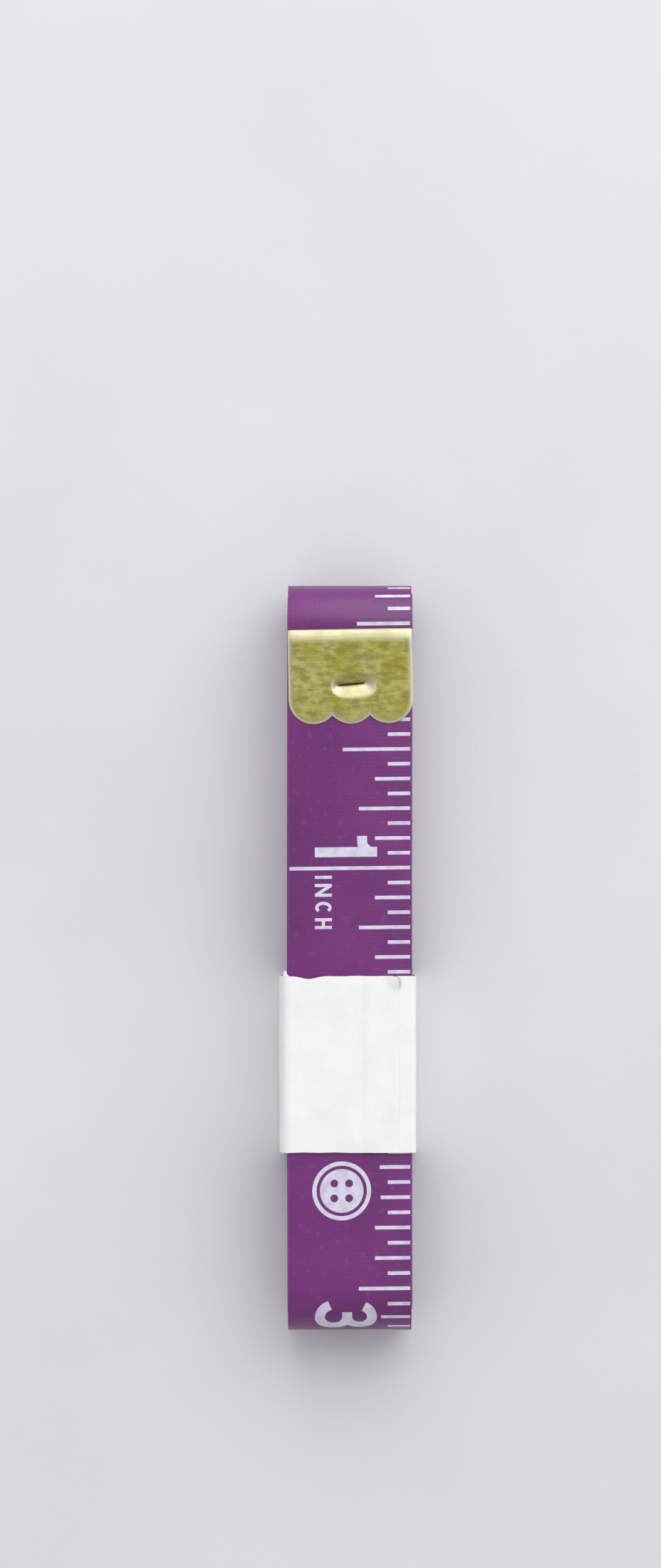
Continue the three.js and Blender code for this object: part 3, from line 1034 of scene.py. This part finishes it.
def round_curled_corner(distance, up):
    """Keep the points of the lap's upper corner inside a round."""
    from_end = CURL_ROUND - (band_route.length - distance)
    from_top = CURL_ROUND - (band_height / 2 - up)
    reach = math.hypot(from_end, from_top)
    if min(from_end, from_top) <= 0 or reach <= CURL_ROUND:
        return distance, up
    spare = 1 - CURL_ROUND / reach
    return distance - from_end * spare, up - from_top * spare


def smudge_at(distance, up):
    """How much shade is painted on the under layer, along the edge of the lap's curled corner."""
    if distance > LAP_END:
        return 0.0
    aside = band_route.at(distance)[0].x - (LAP_END - CURL_ROUND)
    over = CURL_ROUND - (band_height / 2 - up)
    if aside < 0 or over < -CURL_ROUND:
        return 0.0
    from_edge = math.hypot(aside, max(0.0, over)) - CURL_ROUND - CORNER_SHADE_WIDTH / 2
    fade = smooth_step(1 + over / CURL_ROUND)
    return CORNER_SHADE_DARKNESS * fade * bump_at(from_edge, 0, CORNER_SHADE_WIDTH)


# %% [markdown]
# Now the strip can be cut and folded. It starts as a fine grid, because its small bumps need vertices,
# and its flat place is kept as a UV map, as for the tape. Solidify gives it the thickness of paper.

# %% Cut and fold the paper
PAPER_STEP = 0.16
PAPER_SHARP_DEGREES = 60


def paper_band():
    bm = bmesh.new()
    columns = math.ceil(band_route.length / PAPER_STEP)
    rows = math.ceil(band_height / PAPER_STEP / 2)
    size = Matrix.Diagonal((band_route.length, band_height, 1, 1))
    middle = Matrix.Translation((band_route.length / 2, 0, 0))
    bmesh.ops.create_grid(bm, x_segments=columns, y_segments=rows, size=0.5, matrix=middle @ size)
    keep_flat_map(bm)
    corner_shade = bm.verts.layers.float.new("corner_shade")
    for vertex in bm.verts:
        distance, up = round_curled_corner(vertex.co.x, vertex.co.y)
        vertex[corner_shade] = smudge_at(distance, up)
        place, heading = band_route.at(distance)
        out = Vector((-heading.y, heading.x)) * stand_off(distance, up)
        vertex.co = (place.x + out.x, band_middle_y + up + edge_rise(distance, up), place.y + out.y)
    bm = settled(bm, ("SOLIDIFY", {"thickness": PAPER, "offset": 0}))
    return to_object(bm, "paper_strip", PAPER_SHARP_DEGREES)


paper_strip = paper_band()

# %% [markdown]
# ## Finishes
#
# Colours are written as they look on the object, as sRGB values, and are turned into the linear values
# that shaders use. A material could be wired by hand in the editor, but wires in code are easier to read
# back when one line adds a node with its settings, its values and its links.

# %% Material helpers
def srgb(red, green, blue):
    shares = (value / 255 for value in (red, green, blue))
    linear = [s / 12.92 if s <= 0.04045 else ((s + 0.055) / 1.055) ** 2.4 for s in shares]
    return (*linear, 1.0)


def new_finish(name):
    finish = bpy.data.materials.new(name)
    finish.use_nodes = True
    print("finish:", name)
    return finish, finish.node_tree, finish.node_tree.nodes["Principled BSDF"]


def add_node(tree, kind, links=None, values=None, **settings):
    """Add a node with its settings, its socket values, and its inputs linked from other sockets."""
    made = tree.nodes.new(kind)
    for key, value in settings.items():
        setattr(made, key, value)
    for key, value in (values or {}).items():
        made.inputs[key].default_value = value
    for key, socket in (links or {}).items():
        tree.links.new(socket, made.inputs[key])
    return made


# %% [markdown]
# ## Effects that finishes share
#
# Three effects are shared by several finishes, so each is a node group, built once and placed with other
# values in each material. `Mottle` gives soft blotches, for uneven colour and polish. `Grain` gives a
# fine height that can be drawn out one way, as brush marks on metal or fibres in paper are. `Weave`
# gives the over and under of threads: two crossed sets of waves, because a picture of cloth would
# repeat itself, and waves are as fine as the camera is near.

# %% Node groups
VECTOR, FLOAT = "NodeSocketVector", "NodeSocketFloat"


def new_group(name, inputs, output):
    """A shader node group with these inputs and one output that is a number."""
    tree = bpy.data.node_groups.new(name, "ShaderNodeTree")
    for label, kind in inputs.items():
        tree.interface.new_socket(name=label, in_out="INPUT", socket_type=kind)
    tree.interface.new_socket(name=output, in_out="OUTPUT", socket_type=FLOAT)
    return tree, tree.nodes.new("NodeGroupInput").outputs, tree.nodes.new("NodeGroupOutput").inputs


def mottle_group():
    inputs = {"Vector": VECTOR, "Scale": FLOAT, "Low": FLOAT, "High": FLOAT}
    tree, given, result = new_group("Mottle", inputs, "Mask")
    cloud = add_node(
        tree,
        "ShaderNodeTexNoise",
        links={"Vector": given["Vector"], "Scale": given["Scale"]},
        values={"Detail": 4.0, "Roughness": 0.55},
    )
    spread = add_node(
        tree,
        "ShaderNodeMapRange",
        links={"Value": cloud.outputs["Fac"], "From Min": given["Low"], "From Max": given["High"]},
        interpolation_type="SMOOTHSTEP",
    )
    tree.links.new(spread.outputs["Result"], result["Mask"])
    return tree


def grain_group():
    inputs = {"Vector": VECTOR, "Stretch": VECTOR, "Scale": FLOAT}
    tree, given, result = new_group("Grain", inputs, "Height")
    drawn_out = {0: given["Vector"], 1: given["Stretch"]}
    drawn = add_node(tree, "ShaderNodeVectorMath", drawn_out, operation="MULTIPLY")
    fibres = add_node(
        tree,
        "ShaderNodeTexNoise",
        links={"Vector": drawn.outputs["Vector"], "Scale": given["Scale"]},
        values={"Detail": 3.0, "Roughness": 0.6},
    )
    tree.links.new(fibres.outputs["Fac"], result["Height"])
    return tree


def weave_group():
    tree, given, result = new_group("Weave", {"Vector": VECTOR, "Pitch": FLOAT}, "Height")
    parts = add_node(tree, "ShaderNodeSeparateXYZ", {"Vector": given["Vector"]})
    threads = []
    for axis in ("X", "Y"):
        turns = {0: parts.outputs[axis], 1: given["Pitch"]}
        turn = add_node(tree, "ShaderNodeMath", turns, operation="DIVIDE")
        angle = add_node(tree, "ShaderNodeMath", {0: turn.outputs[0]}, {1: math.pi}, operation="MULTIPLY")
        wave = add_node(tree, "ShaderNodeMath", {0: angle.outputs[0]}, operation="SINE")
        threads.append(add_node(tree, "ShaderNodeMath", {0: wave.outputs[0]}, operation="ABSOLUTE"))
    crossing = {number: thread.outputs[0] for number, thread in enumerate(threads)}
    crossed = add_node(tree, "ShaderNodeMath", crossing, operation="MULTIPLY")
    tree.links.new(crossed.outputs[0], result["Height"])
    return tree


MOTTLE, GRAIN, WEAVE = mottle_group(), grain_group(), weave_group()
print("groups:", ", ".join(group.name for group in (MOTTLE, GRAIN, WEAVE)))

# %% [markdown]
# ## Small tools for the finishes
#
# A finish is then a short recipe: where on the surface, which masks, and what they mix. These tools name
# the steps of a recipe, so that a finish reads as a list of what the surface has been through. A mix goes
# from what is there where the mask is none to what is there where it is full.

# %% Places and effects
def flat_place(tree):
    """The piece's flat coordinates, in millimetres."""
    return add_node(tree, "ShaderNodeUVMap", uv_map="flat").outputs["UV"]


def object_place(tree, shift=(0, 0, 0)):
    """The piece's own coordinates, in millimetres, moved to choose another part of a pattern."""
    place = add_node(tree, "ShaderNodeTexCoord").outputs["Object"]
    values = {"Scale": (1 / MM, 1 / MM, 1 / MM), "Location": shift}
    return add_node(tree, "ShaderNodeMapping", {"Vector": place}, values).outputs["Vector"]


def effect(tree, group, place, **values):
    """Place a shared effect, with its inputs given by their names."""
    inputs = {name.title(): value for name, value in values.items()}
    return add_node(tree, "ShaderNodeGroup", {"Vector": place}, inputs, node_tree=group).outputs[0]


def mottle(tree, place, scale, low, high):
    return effect(tree, MOTTLE, place, scale=scale, low=low, high=high)


def grain(tree, place, scale, stretch=(1, 1, 1)):
    return effect(tree, GRAIN, place, scale=scale, stretch=stretch)


def weave(tree, place, pitch):
    return effect(tree, WEAVE, place, pitch=pitch)


# %% Mixes and relief
MIX_MASK, MIX_NONE, MIX_FULL, MIX_COLOUR = 0, 6, 7, 2


def masked(tree, value, low, high):
    """A mask that is none where a number is low and full where it is high."""
    values = {"From Min": low, "From Max": high}
    return add_node(tree, "ShaderNodeMapRange", {"Value": value}, values).outputs["Result"]


def between(tree, mask, none, full):
    """A number that goes from one value to another with the mask."""
    values = {"To Min": none, "To Max": full}
    return add_node(tree, "ShaderNodeMapRange", {"Value": mask}, values).outputs["Result"]


def tint(tree, mask, none, full):
    """A colour that goes from one, which may be a socket, to another with the mask."""
    links, values = {MIX_MASK: mask}, {MIX_FULL: full}
    (links if isinstance(none, bpy.types.NodeSocket) else values)[MIX_NONE] = none
    return add_node(tree, "ShaderNodeMix", links, values, data_type="RGBA").outputs[MIX_COLOUR]


def add_up(tree, first, second, share):
    """The first number and a share of the second."""
    links = {0: second, 2: first}
    return add_node(tree, "ShaderNodeMath", links, {1: share}, operation="MULTIPLY_ADD").outputs[0]


def raise_surface(tree, shader, height, relief):
    """Bump the surface by a height, with a relief in millimetres."""
    bump = add_node(tree, "ShaderNodeBump", {"Height": height}, {"Distance": relief * MM})
    tree.links.new(bump.outputs["Normal"], shader.inputs["Normal"])


# %% [markdown]
# ## The coated cloth
#
# The tape is a plain woven cloth with a soft vinyl coat. Plain purple would look like plastic sheet. On
# the real one the threads show through as a fine check, the colour drifts a little, and the coat is
# satin with duller scuffs, so each of these is a mask on the flat coordinates.

# %% The coated cloth
PURPLE = srgb(104, 20, 108)
PURPLE_FADED = srgb(115, 27, 119)
PURPLE_SCUFFED = srgb(136, 74, 145)
PURPLE_IN_GAPS = srgb(84, 26, 96)
THREAD_PITCH = 0.42


def coated_cloth():
    finish, tree, shader = new_finish("purple_coat")
    place = flat_place(tree)
    drift = mottle(tree, place, scale=0.10, low=0.35, high=0.65)
    scuffs = mottle(tree, place, scale=1.3, low=0.56, high=0.74)
    threads = weave(tree, place, THREAD_PITCH)
    colour = tint(tree, drift, none=PURPLE, full=PURPLE_FADED)
    colour = tint(tree, between(tree, scuffs, none=0.0, full=0.35), none=colour, full=PURPLE_SCUFFED)
    colour = tint(tree, between(tree, threads, none=0.10, full=0.0), none=colour, full=PURPLE_IN_GAPS)
    tree.links.new(colour, shader.inputs["Base Color"])
    tree.links.new(between(tree, scuffs, none=0.40, full=0.56), shader.inputs["Roughness"])
    skin = grain(tree, place, scale=2.2)
    raise_surface(tree, shader, add_up(tree, threads, skin, share=0.9), relief=0.009)
    shader.inputs["Coat Weight"].default_value = 0.3
    shader.inputs["Coat Roughness"].default_value = 0.28
    return finish


CLOTH = coated_cloth()

# %% [markdown]
# ## The cut edges
#
# Where the tape was slit, the coat is missing and the ends of the threads show, some of them paler. The
# flat coordinates don't change across such a narrow face, so this finish reads object coordinates. It is
# the second material of the tape, for the faces that were marked as cut edges.

# %% The cut edges
DARK_THREADS = srgb(104, 48, 112)
PALE_THREADS = srgb(158, 118, 164)


def cut_edge():
    finish, tree, shader = new_finish("cut_edge")
    ends = mottle(tree, object_place(tree), scale=3.5, low=0.38, high=0.62)
    colour = tint(tree, ends, none=DARK_THREADS, full=PALE_THREADS)
    tree.links.new(colour, shader.inputs["Base Color"])
    tree.links.new(between(tree, ends, none=0.6, full=0.85), shader.inputs["Roughness"])
    raise_surface(tree, shader, ends, relief=0.03)
    return finish


BARE_CLOTH = cut_edge()

# %% [markdown]
# ## The ink
#
# The ink is a thin pale film. It could be plain white, but it isn't quite dense, so some purple comes
# through, and the tops of the threads have worn it in specks. The weave under it still shows as relief.

# %% The ink
INK_DENSE = srgb(220, 217, 234)
INK_THIN = srgb(200, 194, 218)
INK_WORN = srgb(140, 92, 150)


def pale_ink():
    finish, tree, shader = new_finish("pale_ink")
    place = flat_place(tree)
    thin = mottle(tree, place, scale=0.9, low=0.40, high=0.70)
    specks = mottle(tree, place, scale=4.5, low=0.66, high=0.74)
    colour = tint(tree, thin, none=INK_DENSE, full=INK_THIN)
    colour = tint(tree, between(tree, specks, none=0.0, full=0.7), none=colour, full=INK_WORN)
    tree.links.new(colour, shader.inputs["Base Color"])
    tree.links.new(between(tree, thin, none=0.42, full=0.6), shader.inputs["Roughness"])
    raise_surface(tree, shader, weave(tree, place, THREAD_PITCH), relief=0.006)
    return finish


INK = pale_ink()

# %% [markdown]
# ## The brass
#
# The clips are stamped from brass strip. Rolling left fine lines across it, handling left it stained in
# duller, browner patches, and the raised parts are worn and carry a painted highlight. An edge-wear mask
# from the Geometry node's pointiness would find edges on its own, but only in one renderer. The number
# that the mesh carries says where the brass is worn and where highlight is painted: up to 1 it turns the
# stains to paler brass, and from 1 to 2 to the near-white painted highlight of the rim.

# %% The brass
BRASS_SHIFT = (40.0, 8.0, 0.0)
BRASS_LIGHT = srgb(196, 192, 124)
BRASS_DEEP = srgb(172, 166, 76)
BRASS_STAINED = srgb(142, 133, 62)
# Paler brass where it is worn and painted lit, and the near-white painted highlight of the rim.
BRASS_WORN_AND_LIT = srgb(196, 192, 156)
BRASS_RIM_HIGHLIGHT = srgb(240, 234, 204)


def stamped_brass():
    finish, tree, shader = new_finish("stamped_brass")
    place = object_place(tree, BRASS_SHIFT)
    wear_and_highlight = add_node(tree, "ShaderNodeAttribute", attribute_name="wear_and_highlight").outputs["Fac"]
    stains = mottle(tree, place, scale=0.45, low=0.36, high=0.66)
    streaks = grain(tree, place, scale=1.0, stretch=(0.9, 1.7, 1.7))
    lines = grain(tree, place, scale=3.0, stretch=(0.10, 3.0, 3.0))
    patches = between(tree, masked(tree, streaks, low=0.40, high=0.62), none=0.0, full=0.72)
    colour = tint(tree, stains, none=BRASS_LIGHT, full=BRASS_DEEP)
    colour = tint(tree, patches, none=colour, full=BRASS_STAINED)
    # Painted highlight, partly wear, where the mesh's number says so.
    colour = tint(tree, wear_and_highlight, none=colour, full=BRASS_WORN_AND_LIT)
    colour = tint(tree, masked(tree, wear_and_highlight, low=1.0, high=2.0), none=colour, full=BRASS_RIM_HIGHLIGHT)
    tree.links.new(colour, shader.inputs["Base Color"])
    shader.inputs["Metallic"].default_value = 1.0
    rough = add_up(tree, between(tree, stains, none=0.30, full=0.44), lines, share=0.14)
    tree.links.new(rough, shader.inputs["Roughness"])
    raise_surface(tree, shader, add_up(tree, lines, streaks, share=0.8), relief=0.012)
    return finish


BRASS = stamped_brass()

# %% [markdown]
# ## The paper
#
# The band is smooth white paper. White alone would look like enamel. Close to, it has a felt of short
# fibres, a faint unevenness where it was pressed against the tape, and soft dents, and under the curled
# corner it has a painted shade, as the number on its vertices says.

# %% The paper
PAPER_WHITE = srgb(248, 249, 248)
PAPER_GREYER = srgb(242, 243, 244)
PAPER_FIBRES = srgb(226, 228, 230)
PAPER_IN_SHADE = srgb(120, 124, 112)


def white_paper():
    finish, tree, shader = new_finish("white_paper")
    place = flat_place(tree)
    felt = grain(tree, place, scale=3.0, stretch=(1.0, 0.45, 1.0))
    cloudy = mottle(tree, place, scale=0.25, low=0.35, high=0.70)
    dents = grain(tree, place, scale=0.28)
    corner_shade = add_node(tree, "ShaderNodeAttribute", attribute_name="corner_shade").outputs["Fac"]
    colour = tint(tree, cloudy, none=PAPER_WHITE, full=PAPER_GREYER)
    colour = tint(tree, between(tree, felt, none=-0.10, full=0.20), none=colour, full=PAPER_FIBRES)
    # Painted shade along the edge of the lap's lifted corner.
    colour = tint(tree, corner_shade, none=colour, full=PAPER_IN_SHADE)
    tree.links.new(colour, shader.inputs["Base Color"])
    tree.links.new(between(tree, felt, none=0.55, full=0.75), shader.inputs["Roughness"])
    raise_surface(tree, shader, add_up(tree, dents, felt, share=0.08), relief=0.08)
    return finish


PAPER_FINISH = white_paper()

# %% [markdown]
# ## Dress the pieces
#
# A piece's materials are its slots, in order: a face with the index 1 takes the second. The plates of
# the clips are large flat faces beside narrow bevels, and plain smooth shading would bend the light
# across them, so a Weighted Normal modifier lets the large faces decide.

# %% Dress the pieces
wardrobe = (
    (wound_tape, (CLOTH, BARE_CLOTH)),
    (lifting_tape, (CLOTH, BARE_CLOTH)),
    (wound_print, (INK,)),
    (lifting_print, (INK,)),
    (zero_clip, (BRASS,)),
    (far_clip, (BRASS,)),
    (paper_strip, (PAPER_FINISH,)),
)
for piece, finishes in wardrobe:
    for finish in finishes:
        piece.data.materials.append(finish)
for clip in (zero_clip, far_clip):
    clip.modifiers.new("weighted_normal", "WEIGHTED_NORMAL").keep_sharp = True
print(f"{len(wardrobe)} pieces dressed")

# %% [markdown]
# ## The floor
#
# The bundle lies on a pale floor, which takes its shadow. A shadow catcher would leave the shadow without
# a surface, so the floor is a real one, wide enough that its edge isn't seen from low down.

# %% The floor
FLOOR_HALF = 3000.0
FLOOR_PALE = srgb(226, 227, 230)
FLOOR_SHADED = srgb(220, 221, 225)


def pale_floor():
    bm = bmesh.new()
    bmesh.ops.create_grid(bm, x_segments=8, y_segments=8, size=FLOOR_HALF)
    bmesh.ops.translate(bm, verts=bm.verts, vec=(0, 0, band_low.z - CRUMPLE))
    floor = to_object(bm, "floor")
    finish, tree, shader = new_finish("pale_floor")
    place = object_place(tree)
    cloudy = mottle(tree, place, scale=0.02, low=0.3, high=0.7)
    colour = tint(tree, cloudy, none=FLOOR_PALE, full=FLOOR_SHADED)
    tree.links.new(colour, shader.inputs["Base Color"])
    shader.inputs["Roughness"].default_value = 0.8
    raise_surface(tree, shader, grain(tree, place, scale=1.5), relief=0.02)
    floor.data.materials.append(finish)
    return floor


floor = pale_floor()

# %% [markdown]
# ## Light
#
# One large soft lamp stands beyond the clip end, a little to the right. It lights the fold of the clip
# and the top of the bundle. Brass shows what is round it, and in an even grey sky it would look like
# grey paint. So the sky is brighter near the horizon than overhead, and brighter on the lamp's side than
# behind the viewer. The sky's Generated coordinates are the direction of the view into it.

# %% The lamp
LAMP_AT = Vector((0.14, 0.42, 0.40))
LAMP_SIZE = 0.70
LAMP_WATTS = 2.45

lamp_data = bpy.data.lights.new("soft_lamp", "AREA")
lamp_data.energy = LAMP_WATTS
lamp_data.size = LAMP_SIZE
lamp = bpy.data.objects.new("soft_lamp", lamp_data)
lamp.location = LAMP_AT
lamp.rotation_euler = (-LAMP_AT).to_track_quat("-Z", "Y").to_euler()
bpy.context.scene.collection.objects.link(lamp)
print(f"lamp of {LAMP_WATTS} W, {LAMP_AT.length:.2f} m away")

# %% The sky
SKY_OVERHEAD = 0.60
HORIZON_BEHIND = 0.48
HORIZON_AHEAD = 1.10

world = bpy.data.worlds.new("studio")
world.use_nodes = True
bpy.context.scene.world = world
sky = world.node_tree
direction = add_node(sky, "ShaderNodeTexCoord").outputs["Generated"]
parts = add_node(sky, "ShaderNodeSeparateXYZ", {"Vector": direction})
ahead = masked(sky, parts.outputs["Y"], low=-1.0, high=1.0)
horizon = between(sky, ahead, none=HORIZON_BEHIND, full=HORIZON_AHEAD)
climb = {"Value": parts.outputs["Z"], "To Min": horizon}
level = add_node(sky, "ShaderNodeMapRange", climb, {"To Max": SKY_OVERHEAD})
background = sky.nodes["Background"]
background.inputs["Color"].default_value = (1, 1, 1, 1)
sky.links.new(level.outputs["Result"], background.inputs["Strength"])
print(f"sky {SKY_OVERHEAD} overhead, {HORIZON_BEHIND} to {HORIZON_AHEAD} at the horizon")

# %% [markdown]
# ## Camera
#
# The camera looks straight down on the face that is read, far enough away that the sides of the bundle
# hardly show. An orthographic camera would hide them wholly, but a long lens is what a photographer
# would use. The lens follows from the height of the view and the distance.

# %% The camera
VIEW_CENTRE = (-2.03, 18.33)
VIEW_HEIGHT = 164.9
CAMERA_DISTANCE = 1400.0
SENSOR_HEIGHT = 36.0
CLIP_END = 10.0

camera_data = bpy.data.cameras.new("camera")
camera_data.sensor_fit = "VERTICAL"
camera_data.sensor_height = SENSOR_HEIGHT
camera_data.lens = SENSOR_HEIGHT * CAMERA_DISTANCE / VIEW_HEIGHT
camera_data.clip_end = CLIP_END
camera = bpy.data.objects.new("camera", camera_data)
camera.location = Vector((*VIEW_CENTRE, leaf_high.z + CAMERA_DISTANCE)) * MM
bpy.context.scene.collection.objects.link(camera)
bpy.context.scene.camera = camera
bpy.context.scene.view_settings.view_transform = "Standard"
print(f"lens {camera_data.lens:.0f} mm")

# %% [markdown]
# ## Join the pieces to the frame
#
# Each piece rides on the body that it belongs to and stands for its solid. The free end could turn as a
# stiff flap about the hinge, but cloth bends: its mesh is blended from the winding to the lifting body
# over a short stretch where it leaves the band, and the print on it with it.

# %% Bodies and solids
BEND_BEFORE = 0.75
BEND_AFTER = 1.6

bend_start = (hinge - Vector((0, BEND_BEFORE, 0))) * MM
bend_end = (hinge + Vector((0, BEND_AFTER, 0))) * MM
for piece, body in (
    (wound_tape, "winding"),
    (wound_print, "winding"),
    (far_clip, "winding"),
    (zero_clip, "free_end"),
    (paper_strip, "band"),
):
    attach(piece, body)
for piece in (lifting_tape, lifting_print):
    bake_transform(piece, "winding", "free_end", start=bend_start, end=bend_end)

for piece, node, slot in (
    (wound_tape, "tape_winding", "coated_cloth"),
    (lifting_tape, "tape_free_end", "coated_cloth"),
    (zero_clip, "zero_end_clip", "clip_brass"),
    (far_clip, "far_end_clip", "clip_brass"),
    (paper_strip, "paper_band", "band_paper"),
):
    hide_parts(node)
print(f"the free end bends over {BEND_BEFORE + BEND_AFTER:.2f} mm")

# %% [markdown]
# ## Sheets
#
# The tape and the band are sheets: things with a flat size, which bending doesn't change. The tape's flat
# length, and how far from its zero end it is parted, are printed.

# %% Flat sizes
print(f"tape {tape_end - tape_start:.0f} mm long, parted {seam - tape_start:.1f} mm from its zero end")
